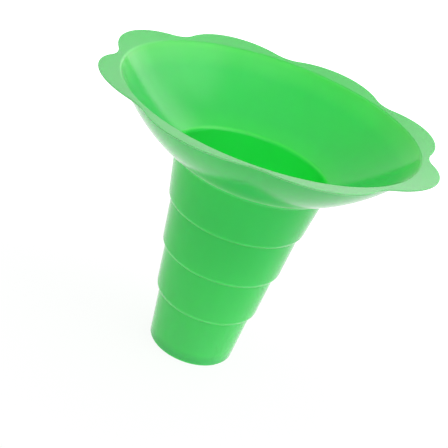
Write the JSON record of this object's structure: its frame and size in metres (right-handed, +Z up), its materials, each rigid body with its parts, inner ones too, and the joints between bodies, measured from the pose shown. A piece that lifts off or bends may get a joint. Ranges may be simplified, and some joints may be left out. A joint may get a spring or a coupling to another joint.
{
  "type": "flower-rim shaved-ice cup",
  "caption": "Thin moulded cup for shaved ice: a stepped tapered cup that opens into a wide drip bowl with a petal-shaped rim.",
  "frame": {"origin": "centre of the circle that the cup stands on", "axes": "+Z up along the cup's axis; X and Y pass through valleys between petals"},
  "size_m": [0.1514, 0.1514, 0.1309],
  "materials": {
    "cup_plastic": "glossy translucent green, as moulded"
  },
  "bodies": {
    "root": {"flower_cup": "cup_plastic"}
  },
  "joints": []
}
